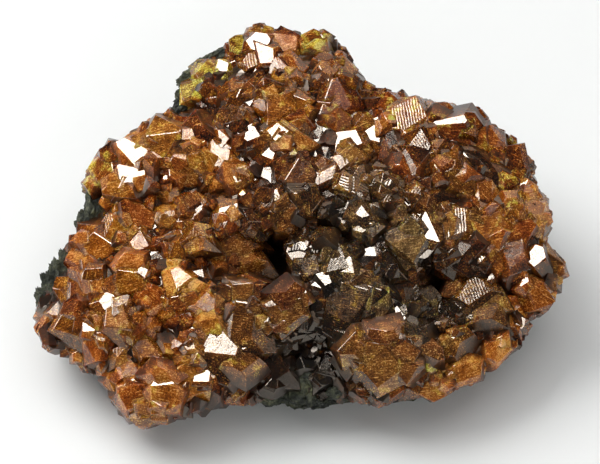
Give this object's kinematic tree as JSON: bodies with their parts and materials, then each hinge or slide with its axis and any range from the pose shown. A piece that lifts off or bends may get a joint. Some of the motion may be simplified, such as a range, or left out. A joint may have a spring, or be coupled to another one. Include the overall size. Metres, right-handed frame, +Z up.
{
  "type": "orpiment specimen",
  "caption": "Crust of blocky amber-orange orpiment crystals grown over a dark host rock, sawn flat underneath so that it rests with the crystals up.",
  "frame": {"origin": "middle of the overall box, on the sawn face that the matrix rests on", "axes": "+Z up, +X to the right in the picture along the longest side, +Y away from the lens; the crust's face leans toward -Y"},
  "size_m": [0.0758, 0.0608, 0.0297],
  "materials": {
    "host_rock": "rough, dark green-grey, grainy",
    "orpiment": "resinous, translucent amber, bright flat faces"
  },
  "bodies": {
    "root": {"matrix": "host_rock", "orpiment_crust": "orpiment"}
  },
  "joints": []
}
